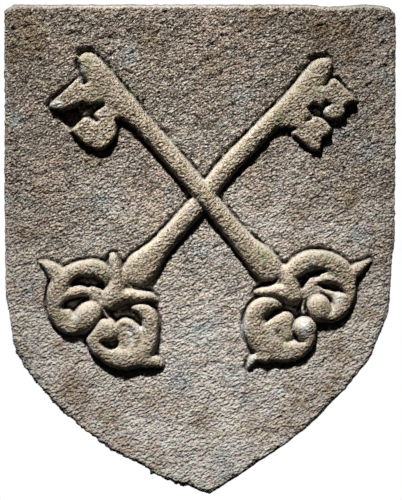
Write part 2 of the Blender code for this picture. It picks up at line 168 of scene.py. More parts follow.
# %% Bosses and chips
def lump_over(across, down, half_length, half_width, turn):
    """Where an oval lies: its window, and the distance from its middle in half lengths."""
    reach = max(half_length, half_width)
    area = window(across - reach, across + reach, down - reach, down + reach)
    turn = np.radians(turn)
    over = ACROSS[area] - across
    up = down - DOWN[area]
    along = (over * np.cos(turn) + up * np.sin(turn)) / half_length
    aside = (up * np.cos(turn) - over * np.sin(turn)) / half_width
    return area, np.hypot(along, aside)


def raise_boss(across, down, half_length, half_width, turn, height, fullness=2.2, blend=0.7):
    """Oval lump, its length turned anticlockwise by so many degrees."""
    area, distance = lump_over(across, down, half_length, half_width, turn)
    body = np.where(distance < 1, height * rounded(distance, fullness), NOWHERE)
    relief[area] = soft_max(relief[area], body, blend)


def cut_lump(across, down, half_length, half_width, turn, depth, fullness=1.6):
    """Oval dent, turned as a boss is."""
    area, distance = lump_over(across, down, half_length, half_width, turn)
    relief[area] -= np.where(distance < 1, depth * rounded(distance, fullness), 0)


# %% [markdown]
# ## Panels and pockets
#
# A panel stands inside a closed outline, flat on top, and a pocket is sunk inside one. Both need
# the distance of each point from the outline, positive within it. A point is within if a line to
# its left crosses the outline an odd number of times.

# %% Panels and pockets
def edge_distance(outline, reach=8.0):
    """Distance in from a closed outline, negative outside it, up to a reach."""
    corners = np.array(outline, float)
    nearest = np.full(ACROSS.shape, reach)
    inside = np.zeros(ACROSS.shape, bool)
    for start, end in zip(corners, np.roll(corners, -1, axis=0)):
        run = end - start
        low, high = np.minimum(start, end), np.maximum(start, end)
        area = window(low[0] - reach, high[0] + reach, low[1] - reach, high[1] + reach)
        over = ACROSS[area] - start[0]
        down = DOWN[area] - start[1]
        share = np.clip((over * run[0] + down * run[1]) / (run @ run), 0, 1)
        gap = np.hypot(over - share * run[0], down - share * run[1])
        nearest[area] = np.minimum(nearest[area], gap)
        rows = (down_lines >= low[1]) & (down_lines < high[1])
        if rows.any():
            crossing = start[0] + (down_lines[rows] - start[1]) / run[1] * run[0]
            inside[rows] ^= across_lines[None, :] < crossing[:, None]
    return np.where(inside, nearest, -nearest)


def raise_panel(outline, height, rounding=3.0, blend=0.7):
    """Flat-topped form with rounded edges, its height given by a rule of the place."""
    depth_in = edge_distance(outline)
    edge = np.clip(1 - depth_in / rounding, 0, 1)
    body = height(ACROSS, DOWN) - rounding * (1 - np.sqrt(1 - edge ** 2))
    relief[:] = soft_max(relief, np.where(depth_in > 0, body, NOWHERE), blend)


def sink_panel(outline, height, rounding=2.0):
    """Bring the surface inside an outline down to a height, with sloping sides."""
    share = np.clip(edge_distance(outline) / rounding, 0, 1)
    share = share * share * (3 - 2 * share)
    relief[:] = relief * (1 - share) + np.minimum(relief, height) * share


# %% [markdown]
# ## Softening and measuring
#
# Wear, and the slow rise of the ground towards the keys, are fields that have been softened: each
# point becomes a mean of its neighbours, weighted by a bell curve, first down and then across.
# After each carving step the highest and the lowest place are printed.

# %% Softening and measuring
def blurred(field, reach):
    """Field softened over a reach in squares."""
    size = int(3 * reach / GRID_STEP)
    weights = np.exp(-0.5 * (np.arange(-size, size + 1) * GRID_STEP / reach) ** 2)
    weights /= weights.sum()
    for axis in (0, 1):
        padding = [(size, size) if axis == side else (0, 0) for side in (0, 1)]
        padded = np.pad(field, padding, mode='edge')
        total = np.zeros(field.shape)
        for step, weight in enumerate(weights):
            part = slice(step, step + field.shape[axis])
            total += weight * (padded[part] if axis == 0 else padded[:, part])
        field = total
    return field


def measured(step):
    print(step, "from", round(float(relief.min()), 1), "to", round(float(relief.max()), 1), "mm")


# %% [markdown]
# ## The under key
#
# The key that runs from the upper right to the lower left is carved first, because the other
# one passes over it. Its shaft is a half round about 20 mm wide, a little bent, that thickens
# at the bit and swells like a trumpet before it dives under the collar. The bit is flat on top
# and level with the shaft. Its ward cuts, the knob between them and the broken corners are
# placed where the stone has them.

# %% The under key's shaft and bit
raise_panel(
    [(326.5, 86.5), (330.5, 79.5), (335, 79), (357, 100.5), (356, 102.5), (349, 103.5),
     (344.5, 107), (345.5, 113), (340, 119), (331, 120), (325, 117), (323, 112), (327, 108),
     (331, 105), (326, 101), (320, 106), (313, 103), (308, 107), (309, 112), (313, 117),
     (318, 117), (325, 121),
     (331, 128), (330, 135), (323, 137), (321, 145), (319, 151.5), (312, 150), (303, 143),
     (297, 137.5), (293, 134), (297, 129), (288, 127), (279, 128), (270, 120), (300, 90)],
    lambda across, down: 10.0 - 0.05 * (down - 110) + 0.02 * (across - 320), rounding=2.4)
raise_ridge([
    (325, 64.5, 7, 8.5), (320, 70, 11, 10), (312.5, 80.5, 12.5, 10.5), (301, 94, 12, 10.5),
    (287.5, 107, 10.5, 10.5), (272, 121.5, 9.8, 10.5), (256.5, 137, 9.6, 10.5),
    (242, 152, 9.8, 10.5), (227, 167.5, 9.8, 10.5), (212, 186, 9.6, 10.5),
    (197.5, 205, 9.6, 10.5), (177, 228, 9.8, 10.5), (159, 248.5, 11, 10.5),
    (149, 259.5, 14, 11), (140.5, 269, 16.5, 11.2), (134.5, 275.5, 13.5, 10.5),
], fullness=2.4)
raise_boss(333.5, 112.5, 10.5, 7.5, -15, 9.5)
raise_boss(295, 133, 4, 3, 30, 7)
cut_ridge([(306, 121, 2, 5), (311, 118.5, 2.5, 6)])
measured("under key's shaft and bit")

# %% [markdown]
# ## The bow of the under key
#
# The bow is two scrolls. Each band springs from the collar, runs round like the numeral 6 and
# ends in a boss, and a thin leaf curls inside it. The floor between them is left a little above
# the field. Working from low to high, as a carver does the other way round, keeps each overlap
# in its right order.

# %% The under key's scrolls
raise_boss(97, 293, 12, 10, 20, 4.5, blend=2.0)
raise_boss(125, 338, 17, 13, 60, 7.0, fullness=3.0, blend=2.0)
raise_ridge([
    (105, 280, 5.5, 8), (104, 275, 7.5, 10.5), (101, 271, 8.8, 11.5), (95, 268, 8.6, 12),
    (86, 268.5, 8.6, 12), (77, 271, 9, 12), (68.5, 276, 9.4, 12), (61, 283, 9.8, 12),
    (57.5, 292, 10, 12), (56.5, 301, 9.5, 11.5), (57, 310, 9, 10.5), (60, 318, 8.5, 9.5),
    (66, 325, 8, 9), (74, 328.5, 6.5, 9),
])
raise_ridge([(63, 298, 9, 11), (72, 293.5, 7.5, 10.5), (81, 291, 6, 9.5), (88, 293, 4.5, 7.5),
             (92, 297, 2.5, 5)], fullness=2.0)
raise_ridge([(63, 314, 9, 8), (68, 322, 10, 8), (76, 326, 9, 9)], blend=2.5)
raise_boss(86.5, 317.5, 18.5, 13.5, 52, 13.5, fullness=2.0, blend=2.0)
raise_ridge([(58, 275, 9, 10.5), (52, 268.5, 6.5, 9), (46.5, 264.5, 3.8, 6.5),
             (41, 262.5, 2, 4)])

raise_ridge([
    (129, 308.5, 2, 6), (135, 308.5, 4.5, 9), (142, 309.5, 6.5, 10.5), (148, 314, 8.0, 11),
    (150.5, 322, 8.2, 11.5), (150.5, 331, 8.4, 11.5), (149.5, 340, 8.8, 11.5),
    (145, 349, 9.5, 11.5), (137, 356, 10.5, 11.5), (127, 359, 10.5, 11.5),
    (116, 357.5, 10.2, 11.5), (106, 352, 9.5, 11.5), (98.5, 345, 9, 11.5), (95, 338, 8.5, 11.5),
    (97, 331.5, 8, 12),
])
raise_ridge([(119, 324, 3, 6), (124, 321.5, 4, 8.5), (130, 324, 5, 10), (135.5, 329.5, 5.2, 10.5),
             (138, 336, 5.2, 10.5), (137, 343, 5, 10)], fullness=2.0)
raise_ridge([(144, 330, 5, 7.5), (144, 337, 6, 8), (142, 345, 7, 9)], fullness=1.8, blend=2.5)
raise_ridge([(135, 343, 6, 9.5), (130, 350, 7, 9.5), (122, 353, 7, 10)], fullness=1.5, blend=2.0)
raise_boss(104.5, 330.5, 15.5, 11.8, -8, 13, fullness=2.9, blend=2.0)
sink_panel([(99, 340.5), (106, 341.5), (112, 342), (118, 339.5), (120, 343), (117.5, 348),
            (112, 350.5), (105, 346.5)], -1.0, rounding=1.2)
cut_ridge([(101.5, 317, 1.4, 5), (97, 323.5, 2.0, 8), (91, 331, 2.2, 9), (86.5, 337, 1.8, 6)])
sink_panel([(70.5, 288.5), (75, 281.5), (81, 277.5), (90, 276.3), (97, 278), (102, 282),
            (105, 284.5), (110, 282.5), (109, 287), (104.5, 292), (99, 288.5), (91, 286),
            (85, 284.6), (78, 285)], 0.0, rounding=1.3)
sink_panel([(60, 306), (64.5, 299.5), (72, 296.8), (80, 295.8), (88.5, 296), (91.5, 299),
            (84, 302.5), (77, 306.5), (70, 309.5), (62.5, 310)], -0.5, rounding=1.3)
sink_panel([(102.5, 305.5), (107, 311), (113, 312), (120, 309.5), (127, 309), (133, 311),
            (138, 315.5), (142.5, 322), (137, 323.5), (131, 320), (125, 317), (118, 319.5),
            (113, 320.5), (107, 316.5), (103, 310)], -0.5, rounding=1.3)
raise_ridge([(140, 359, 8, 10), (148, 361, 6.2, 9.5), (155, 361, 5.8, 8),
             (160.5, 364.5, 3.2, 5.5)], blend=1.5)
measured("under key's scrolls")

# %% [markdown]
# ## The collar of the under key
#
# The collar clasps the shaft where the scrolls spring from it. One arm stands up beside the
# shaft's flare, the other reaches out to the right, and both swell into a rounded nose. A thin
# fillet runs down from the nose between the two scrolls.

# %% The under key's collar
raise_ridge([(113, 256, 4, 7.5), (114.5, 262, 5.5, 10.5), (116.5, 270, 5.8, 12.5),
             (117.5, 279, 6.5, 13.5), (116.5, 288, 9, 14), (112.5, 296, 10.5, 14),
             (109.5, 303, 8, 13)], fullness=2.1)
raise_ridge([(156, 300, 2.5, 6), (150, 297, 4.8, 10), (143, 296.5, 6.3, 12), (134, 296, 7, 13),
             (125, 295.5, 8, 13.8), (116, 296.5, 11, 14)], fullness=2.1)
raise_ridge([(101, 302, 1.8, 8), (103.5, 309, 1.8, 7), (107.5, 315.5, 1.8, 6),
             (113, 320.5, 1.8, 5)])
measured("under key's collar")

# %% [markdown]
# ## The upper key
#
# This key passes over the other, so its shaft stands higher, most of all at the crossing. Its
# bit has two prongs with a deep ward cut between them, which is part of the outline here.

# %% The upper key's shaft and bit
raise_panel(
    [(84, 86), (80, 78.5), (77.5, 79), (64, 91.5), (50, 104), (49.5, 107), (53, 110), (60, 111),
     (68, 109), (76, 104.5), (84, 102.5), (88, 104.5), (95, 103), (106, 102.5), (105.5, 106),
     (99, 110), (94.5, 114), (95.5, 118), (99.5, 121), (96, 122.5), (92, 119), (88, 117),
     (83, 118.5), (78, 124), (71, 130.5), (76, 136), (82, 141), (88, 146), (92, 147.5),
     (97, 150), (104, 149), (112, 142.5), (117, 134), (117, 126), (115, 121), (122, 118),
     (112, 96), (95, 78)],
    lambda across, down: 10.4 - 0.03 * (down - 100) + 0.02 * (across - 90), rounding=2.4)
raise_ridge([
    (88.5, 63, 11, 10.5), (92.5, 68, 12, 12), (99.5, 77, 12.8, 12.6), (108, 88, 13.3, 12.8),
    (116.5, 98.5, 13.4, 13), (124, 106, 13.2, 13), (130.5, 112.2, 11.8, 13),
    (136.5, 118, 10.4, 13), (142.8, 124.2, 9.6, 13),
    (162.8, 146.7, 9.6, 13.2), (182.8, 170.2, 9.6, 14.5), (202.8, 193.2, 9.6, 16),
    (217, 211, 9.6, 15), (232.8, 230.2, 10, 13.5), (247, 246.5, 11.2, 13),
    (258, 257.5, 13.6, 13.2), (265, 265, 14.8, 13.2), (271, 271.5, 13, 12.5),
    (275, 276, 9, 11),
], fullness=2.4)
measured("upper key's shaft and bit")

# %% [markdown]
# ## Breaks in the upper key's bit
#
# The bit is badly worn. The outer web between the prongs has broken away and left a low rough
# patch with a straight outer edge, the tip is chipped, and both prongs have lost a flake. A break
# is cut after the form is whole, which keeps its edges as sharp as a real one's.

# %% Breaks in the upper key's bit
sink_panel([(50, 107), (60, 110.5), (69, 108), (77, 106), (84, 117), (78, 124), (70.5, 131),
            (60, 120)], -7.0, rounding=1.2)
cut_lump(78, 66, 4.5, 7, 10, 5)
cut_ridge([(79, 81, 2, 4), (83, 84, 2, 5)])
cut_lump(92, 144.5, 3, 2, 30, 3.5)
measured("breaks")

# %% [markdown]
# ## The bow of the upper key
#
# The right-hand bow is much like the left one seen in a mirror, but the carver didn't measure:
# its bosses are rounder, the thin leaf is split, and the floor of the lower scroll is a worn
# swelling with a few scratches. So it is drawn on its own instead of being mirrored. This first
# cell carves the upper scroll and its hooked leaf.

# %% The upper key's upper scroll
raise_boss(313, 288, 17, 13, 20, 4.8, blend=2.0)
raise_boss(306, 305, 9, 10, 0, 4, blend=2.0)
raise_boss(329, 296, 8, 8, 0, 4.5, blend=1.5)
raise_boss(279, 331, 18, 17, 40, 5.5, blend=2.0)
raise_ridge([
    (290, 274, 8, 10), (297, 267.5, 9.8, 11.5), (306, 261.5, 10, 12.3), (317, 259.5, 9.8, 12.3),
    (328, 261.5, 9.8, 12), (338, 267, 10, 11.5), (345, 275.5, 10, 10.5),
    (347.5, 285, 9, 9.5), (346.5, 295, 8.5, 9), (343.5, 303.5, 8.3, 8.6),
    (338, 311, 8, 8.8), (331, 315.5, 7.2, 9),
])
raise_ridge([(342, 281, 6, 10.5), (334, 278.5, 5.6, 10), (326, 278.5, 5, 9.5),
             (318.5, 280.5, 3.2, 7.5), (313, 283.5, 1.6, 5)], fullness=2.0)
raise_ridge([(337, 273.5, 2.5, 10), (330, 272.5, 2, 8.5), (322, 275, 2, 7)], fullness=2.0)
raise_ridge([(342, 290, 7, 7.5), (338, 301, 8, 8), (333, 311, 8.5, 9)], fullness=1.6, blend=2.5)
raise_ridge([(322, 315, 7, 10), (331, 314, 7.5, 10), (338, 310, 8, 10)], blend=2.0)
raise_boss(319, 308, 14.5, 12.2, -72, 13.5, fullness=2.4, blend=0.9)
cut_ridge([(321, 293, 1.6, 2), (328, 297, 2.2, 4.5), (332, 304, 2.4, 4.5), (331, 312, 1.8, 2.5)])
cut_ridge([(306.5, 299, 1.4, 2.5), (305.5, 307, 2, 5), (308.5, 314.5, 2, 6),
           (314, 319.5, 1.8, 4)])
sink_panel([(300, 291), (300.3, 284), (305, 277), (311, 272), (318, 269.5), (327, 270.3),
            (320, 273.5), (313, 276), (308, 280.5), (304.5, 287)], -0.5, rounding=1.2)
sink_panel([(315, 284), (322, 285.5), (329, 283), (336, 283), (341, 286.5), (344.5, 292),
            (338, 291.5), (331, 290.5), (324, 289.5)], 0.0, rounding=1.2)
raise_ridge([(351, 274, 7, 9.5), (357.5, 269, 5.8, 7.5), (364, 264.5, 3.6, 5.5),
             (370, 260.5, 1.8, 4)])
measured("upper scroll")

# %% [markdown]
# ## The lower scroll of the upper key
#
# The second band leaves the collar to the left, runs round the swelling and comes up under the
# round boss. A short tail leaves it at the foot. The last lines are the scratches and a hole in
# the band above.

# %% The upper key's lower scroll
raise_ridge([
    (283, 307, 2, 6), (278, 305, 4.5, 9), (271, 303.5, 6.8, 11), (263, 305.5, 8.6, 12),
    (256.5, 311, 9.2, 12), (253.5, 319.5, 9.4, 12), (253.5, 329, 9.8, 12),
    (257.5, 338.5, 10.5, 11), (264.5, 346, 11, 9.6), (274, 350.5, 11, 8.8),
    (285, 351.5, 10.5, 8.6), (295, 350, 10, 8.8), (303, 344.5, 9, 9.6), (307, 337, 8.6, 10.5),
])
raise_boss(304.5, 328, 12.3, 11.8, 0, 13.5, fullness=2.2)
raise_boss(279, 325, 17, 12.5, 38, 8.8, fullness=2.6, blend=1.2)
raise_ridge([(263, 328, 9, 9.5), (266, 338, 10, 10.5), (274, 345, 9, 11)], blend=2.5)
raise_boss(287, 331, 9, 10, 0, 8.2, fullness=3.0, blend=1.5)
cut_ridge([(293.5, 321, 1.2, 4), (292, 328, 1.3, 5), (294.5, 335, 1.8, 8),
           (298.5, 340.5, 2.2, 9), (304.5, 340.8, 1.4, 6)])
sink_panel([(284, 308), (276, 311.5), (268, 317), (261, 324), (266, 324), (274, 317.5),
            (284, 312)], 0.8, rounding=1.5)
raise_ridge([(266, 357, 6, 9), (258, 357, 4.8, 8), (252, 360, 4, 6.5), (248.5, 367, 2.2, 4.5)])
cut_ridge([(265.5, 327.8, 0.7, 1), (268.5, 326.2, 1, 2.2), (271.5, 325.5, 0.7, 1)])
cut_ridge([(277, 335.5, 0.8, 1), (279, 331, 1.1, 2.6), (282, 327.5, 0.8, 1.2)])
cut_ridge([(282, 333.5, 0.7, 0.8), (284.5, 330.5, 1, 2), (288, 329, 0.6, 0.8)])
cut_lump(324.5, 264, 1.6, 1.2, -20, 3)
measured("lower scroll")

# %% [markdown]
# ## The collar of the upper key
#
# This collar has the same two arms and nose as the other, turned to suit its own shaft. The
# pocket under the nose separates it from both scrolls.

# %% The upper key's collar
raise_ridge([(256, 292, 2.5, 6), (262, 291.5, 4, 9.5), (270, 291, 5.5, 12), (279, 291, 8.5, 13.6),
             (287, 292, 10.5, 14), (291, 294, 10, 13.8)], fullness=2.1)
raise_ridge([(281, 266, 3, 7.5), (284.5, 270, 5, 11), (287, 276, 7, 13), (289, 283, 9, 14),
             (291, 290, 10.5, 14)], fullness=2.1)
raise_boss(293, 295.5, 10, 9, -40, 13.6, blend=1.5)
sink_panel([(281, 302), (287, 304), (294, 305.5), (299.5, 301.5), (302.5, 296), (302.5, 303),
            (300, 309.5), (296, 312.5), (289, 312.5), (284, 309)], -0.5, rounding=1.1)
measured("upper key's collar")

# %% [markdown]
# ## Undercuts between the scrolls
#
# The hollows between the scrolls, and those under the flares of the shafts, are set in as
# steep-sided pockets, which is what makes their shadows black and sharp. Each is one outline sunk
# a little below the ground.

# %% Undercuts between the scrolls
UNDERCUTS = [
    [(69, 284), (74, 277.5), (80, 275), (88, 275.5), (96, 278), (104.5, 282), (105, 290),
     (98, 288), (90, 284.5), (82, 281.5), (76, 282.5), (70.5, 286)],
    [(60, 307), (63, 302), (70, 298), (78, 296.3), (86, 295.2), (89.5, 297), (87, 299.5),
     (81, 301.5), (76, 304.5), (72, 307.5), (66, 308.5), (61, 309)],
    [(102.5, 302), (106, 307), (112, 309.5), (119, 310), (126, 306.5), (130, 308), (137, 310.5),
     (143.5, 319), (141, 323), (136, 321), (131, 316.5), (126, 316), (120, 319), (113, 320),
     (107.5, 314.5)],
    [(126, 307.5), (135, 302.5), (146, 300), (158, 301), (158.5, 302.8), (146, 302), (136, 304.5),
     (130, 309)],
    [(98.5, 341), (104, 340), (112, 340.5), (118, 338), (119.5, 342), (115.5, 348.5), (109, 350),
     (103, 346.5)],
    [(127.5, 281), (133, 284.3), (141, 285.8), (149, 284), (154, 278), (160, 272), (156, 284),
     (151.5, 289), (142, 288.5), (133, 287.5)],
    [(247, 267), (251, 273.5), (257, 278.5), (264.5, 281), (272.5, 280), (280, 275.5), (276, 283),
     (269, 286), (258, 287), (251, 282), (246.5, 273)],
    [(315, 284), (322, 283), (331, 283), (338.5, 285), (344, 290), (347, 295), (340, 293),
     (330, 290.5), (321, 288)],
    [(262, 321), (264.5, 315), (271, 309.5), (279, 306.5), (286, 305), (284.5, 309), (277, 312.5),
     (270, 317)],
    [(277, 297.5), (283, 301.5), (289, 304.5), (296, 305.5), (301, 301.5), (300.5, 309),
     (296, 313), (289, 312.5), (283.5, 308)],
    [(298, 290), (300.5, 283), (305, 276.5), (311, 271.5), (318, 269), (326, 269.5), (322, 272.5),
     (314, 275.5), (307, 281), (302, 288)],
]
UNDERCUT_FLOOR = -1.5                 # mm
for pocket in UNDERCUTS:
    sink_panel(pocket, UNDERCUT_FLOOR, rounding=1.0)
measured("undercuts")

# %% [markdown]
# ## The crossing, and the ground above the tips
#
# A narrow slot along the lower edge of the upper shaft parts it from the other where they cross.
# Above the tips and beside the left bit the mason's punch went deeper than elsewhere. These
# diggings lower the ground alone, and any point that stands above it as part of a key is left.

# %% The crossing, and the ground above the tips
sink_panel([(190, 193), (193, 195.5), (208, 213), (206, 215)], 4.5, rounding=0.9)
DIGGINGS = [
    [(43.5, 106.5), (46.5, 101), (57, 91), (67, 83.5), (74, 80), (76, 84), (66, 92), (55, 102),
     (48, 107.5)],
    [(74, 54), (79, 48), (87.5, 45.5), (96, 48.5), (95, 54), (80, 58)],
    [(306, 60), (312, 54), (320, 51.5), (329, 52), (328, 58), (314, 62)],
    [(333, 80), (337, 75.5), (344, 79), (342, 84)],
]
DIGGING_FLOOR = -4.5                  # mm
DIGGING_WALL = 1.4                    # squares over which its sides slope
KEPT_ABOVE = 1.5                      # mm, what stands higher belongs to a key
for pocket in DIGGINGS:
    floor_here = np.where(relief > KEPT_ABOVE, relief, DIGGING_FLOOR)
    share = np.clip(edge_distance(pocket) / DIGGING_WALL, 0, 1)
    relief[:] = relief * (1 - share) + floor_here * share
measured("diggings")

# %% [markdown]
# ## The ground round the keys
#
# A mason sinks the ground by pecking it down with a punch and then cuts a thin trench along the
# foot of each form, to make it stand out. So the ground isn't flat: it rolls gently and dips
# towards the keys. The footprint of the keys, softened over a long reach, gives the dip. The
# rolling comes from random heights on a coarse grid, smoothed between, with a fixed seed so that
# each run gives the same stone.

# %% The ground round the keys
CHISEL_BLUNTNESS = 0.45               # squares over which every edge is softened
FOOTPRINT_FROM = 0.3                  # mm of relief that counts as key
KEY_FROM = 2.5                        # mm above which nothing of the ground is left
DIP = 1.8                             # mm that the ground falls towards the keys
ROLLS = [(0.55, 58, 1), (0.35, 23, 2), (0.25, 11, 4)]   # mm, size in squares, seed


def patches(size, seed):
    """Smooth random hills of a given size in squares, from -1 to 1."""
    rows = int((down_lines[-1] - down_lines[0]) / size) + 4
    columns = int((across_lines[-1] - across_lines[0]) / size) + 4
    knots = np.random.default_rng(seed).uniform(-1, 1, (rows, columns))
    down = (DOWN - down_lines[0]) / size
    across = (ACROSS - across_lines[0]) / size
    row, column = down.astype(int), across.astype(int)
    v, u = down - row, across - column
    v, u = v * v * (3 - 2 * v), u * u * (3 - 2 * u)
    top = knots[row, column] * (1 - u) + knots[row, column + 1] * u
    bottom = knots[row + 1, column] * (1 - u) + knots[row + 1, column + 1] * u
    return top * (1 - v) + bottom * v


relief = blurred(relief, CHISEL_BLUNTNESS)
footprint = (relief > FOOTPRINT_FROM).astype(float)
outside = 1 - np.clip(relief / KEY_FROM, 0, 1)
height = relief + sum(tall * patches(size, seed) for tall, size, seed in ROLLS)
height -= outside * DIP * blurred(footprint, 6.0)
measured("ground and keys")

# %% [markdown]
# ## The trench along the keys
#
# The trench is where the footprint, softened a little, is still above a threshold and no key
# stands. A wandering threshold gives it a wandering width, and a second random field its uneven
# depth. It is deepest above the forms: rain runs down the ground, stands there and eats into the
# stone, and below a form it is sheltered. The slope of the softened footprint tells one side
# from the other.

# %% The trench along the keys
ABOVE_A_FORM = (0.83, 0.55)           # weight of the slope downwards and to the right
TRENCH_DEPTH = (0.8, 5.0)             # mm where it is even, and more where it isn't

threshold = 0.10 + 0.06 * patches(5, 9)
trench = blurred((blurred(footprint, 1.8) > threshold).astype(float), 0.35) * outside
unevenness = np.clip(0.75 + 0.8 * patches(12, 3) + 0.4 * patches(4, 8), 0, 1)
down_rise, across_rise = np.gradient(blurred(footprint, 2.0), GRID_STEP)
steepness = np.hypot(down_rise, across_rise) + 1e-6
facing = (ABOVE_A_FORM[0] * down_rise + ABOVE_A_FORM[1] * across_rise) / steepness
above = np.clip(0.6 + 0.8 * facing, 0.25, 1)
height -= trench * above * (TRENCH_DEPTH[0] + TRENCH_DEPTH[1] * unevenness)
print("face from", round(float(height.min()), 1), "to", round(float(height.max()), 1), "mm")

# %% [markdown]
# ## The outline and its worn rim
#
# The shield is cut straight across the top, drops down both sides and closes in two unlike
# curves on a foot point. The rim has lost its sharp arris: it is rounded by a few millimetres,
# nibbled all round and bitten into along the lower left. The outline is one closed line on the
# drawing, and its distance from each point of the grid gives the rounding.

# %% The outline and its worn rim
TOP_AND_RIGHT = [
    (13, 4), (60, 4), (150, 4), (250, 4), (310, 4), (320, 5.3), (332, 6), (345, 5.5),
    (358, 4.4), (370, 4), (382, 5), (390, 8), (394, 12), (396, 18), (396, 60), (396, 120),
    (395.5, 180), (395, 240), (393, 255), (392, 270), (390, 300), (388, 315), (382, 330),
    (376, 345), (369, 360), (357, 375), (345, 390), (330, 405), (316, 420), (298, 435),
    (278, 450), (255, 465), (233, 480), (211, 494),
]
LEFT_UPWARDS = [
    (209, 494), (168, 480), (140, 465), (112, 450), (91, 435), (72, 420), (56, 405), (43, 390),
    (30, 375), (21, 360), (14, 345), (11, 330), (9, 315), (6, 300), (5, 285), (4.5, 240),
    (4, 180), (4.5, 120), (4, 60), (4, 10),
]
OUTLINE_SPACING = 1.6                 # squares between points
ARRIS = 5.0                           # squares over which the rim is rounded
DEEPEST_RIM_DROP = 4.5                # mm
JAGGED_FROM_DOWN = 330                # the lower left rim is bitten from here down,
JAGGED_TO_ACROSS = 205                # as far as here
JAGGED_BITES = 0.8                    # squares
SMALL_BITES = 0.28


def worn_outline():
    """Closed outline with small irregular bites, deeper along the lower left."""
    line = np.vstack([through([(*spot, 0, 0) for spot in side], OUTLINE_SPACING)[:, :2]
                      for side in (TOP_AND_RIGHT, LEFT_UPWARDS)])
    ahead, behind = np.roll(line, -1, axis=0), np.roll(line, 1, axis=0)
    way = ahead - behind
    outward = np.c_[way[:, 1], -way[:, 0]] / np.hypot(way[:, 0], way[:, 1])[:, None]
    wobble = np.random.default_rng(11).normal(0, 1, len(line))
    wobble = 0.5 * wobble + 0.25 * (np.roll(wobble, 1) + np.roll(wobble, -1))
    jagged = (line[:, 1] > JAGGED_FROM_DOWN) & (line[:, 0] < JAGGED_TO_ACROSS)
    return line + outward * (wobble * np.where(jagged, JAGGED_BITES, SMALL_BITES))[:, None]


outline = worn_outline()
inwards = edge_distance(outline)
rounding = ARRIS * (1 + 0.35 * patches(9, 5))
edge = np.clip(1 - np.maximum(inwards, 0) / rounding, 0, 1)
rim_drop = rounding * (1 - np.sqrt(1 - edge ** 2)) * SQUARE * 1000
height -= np.minimum(rim_drop, DEEPEST_RIM_DROP)
print("outline:", len(outline), "points")

# %% [markdown]
# ## From drawing to stone
#
# The drawing is in squares and the stone in metres, so the first helpers go from one to the
# other and read a field of the drawing between its grid points. Two more turn modifiers into a
# plain mesh and fetch the places of its vertices.

# %% From drawing to stone
SLAB_THICKNESS = 0.060
CELL = 0.00095


def to_metres(across, down):
    return (across - MIDDLE_ACROSS) * SQUARE, (MIDDLE_DOWN - down) * SQUARE


def sampled(field, x, z):
    """Value of a drawing at places given in metres."""
    across = (x / SQUARE + MIDDLE_ACROSS - across_lines[0]) / GRID_STEP
    down = (MIDDLE_DOWN - z / SQUARE - down_lines[0]) / GRID_STEP
    across = np.clip(across, 0, field.shape[1] - 1.001)
    down = np.clip(down, 0, field.shape[0] - 1.001)
    column, row = across.astype(int), down.astype(int)
    u, v = across - column, down - row
    top = field[row, column] * (1 - u) + field[row, column + 1] * u
    bottom = field[row + 1, column] * (1 - u) + field[row + 1, column + 1] * u
    return top * (1 - v) + bottom * v


def settled(item):
    """Turn an object's modifiers into its own plain mesh."""
    evaluated = item.evaluated_get(bpy.context.evaluated_depsgraph_get())
    mesh = bpy.data.meshes.new_from_object(evaluated)
    item.modifiers.clear()
    old = item.data
    item.data = mesh
    bpy.data.meshes.remove(old)
    return mesh


def places(mesh):
    """Places of all vertices, one row each."""
    spots = np.empty(len(mesh.vertices) * 3)
    mesh.vertices.foreach_get("co", spots)
    return spots.reshape(-1, 3)


def remeshed(item):
    """The object's mesh in small even cells."""
    cells = item.modifiers.new("cells", 'REMESH')
    cells.mode = 'VOXEL'
    cells.voxel_size = CELL
    return settled(item)


print("cells of", CELL * 1000, "mm")

# %% [markdown]
# ## The carved block
#
# The outline is filled and given its thickness, then remeshed into small even cells. Each
# vertex is moved forwards or back in proportion to the height of the drawing at its place, so
# the back stays flat on its wall. That stretches the cells on the flanks of the keys, so the
# stone is remeshed once more, which also blunts every edge by about a millimetre, as long
# weathering does.

# %% The carved block
cage = bmesh.new()
front = [cage.verts.new((x, -SLAB_THICKNESS, z)) for x, z in (to_metres(*s) for s in outline)]
face = cage.faces.new(front)
pulled = bmesh.ops.extrude_face_region(cage, geom=[face])
back = [item for item in pulled["geom"] if isinstance(item, bmesh.types.BMVert)]
bmesh.ops.translate(cage, verts=back, vec=(0, SLAB_THICKNESS, 0))
bmesh.ops.triangulate(cage, faces=cage.faces)
bmesh.ops.recalc_face_normals(cage, faces=cage.faces)
block = bpy.data.meshes.new("block")
cage.to_mesh(block)
cage.free()
stone = bpy.data.objects.new("stone_shield", block)
bpy.context.scene.collection.objects.link(stone)

mesh = remeshed(stone)
spots = places(mesh)
depth = SLAB_THICKNESS + sampled(height, spots[:, 0], spots[:, 2]) / 1000
spots[:, 1] *= depth / SLAB_THICKNESS
mesh.vertices.foreach_set("co", spots.ravel())
mesh = remeshed(stone)
print("carved stone:", len(mesh.vertices), "vertices")

# %% [markdown]
# ## Sockets that can be calculated with
#
# Node trees for the surface and for the colour are written as plain expressions. A small class
# holds one output socket, and adding, subtracting or multiplying it adds the Math node that
# does so. Every other node comes from one method, which takes its type, its settings and what
# goes into its sockets.

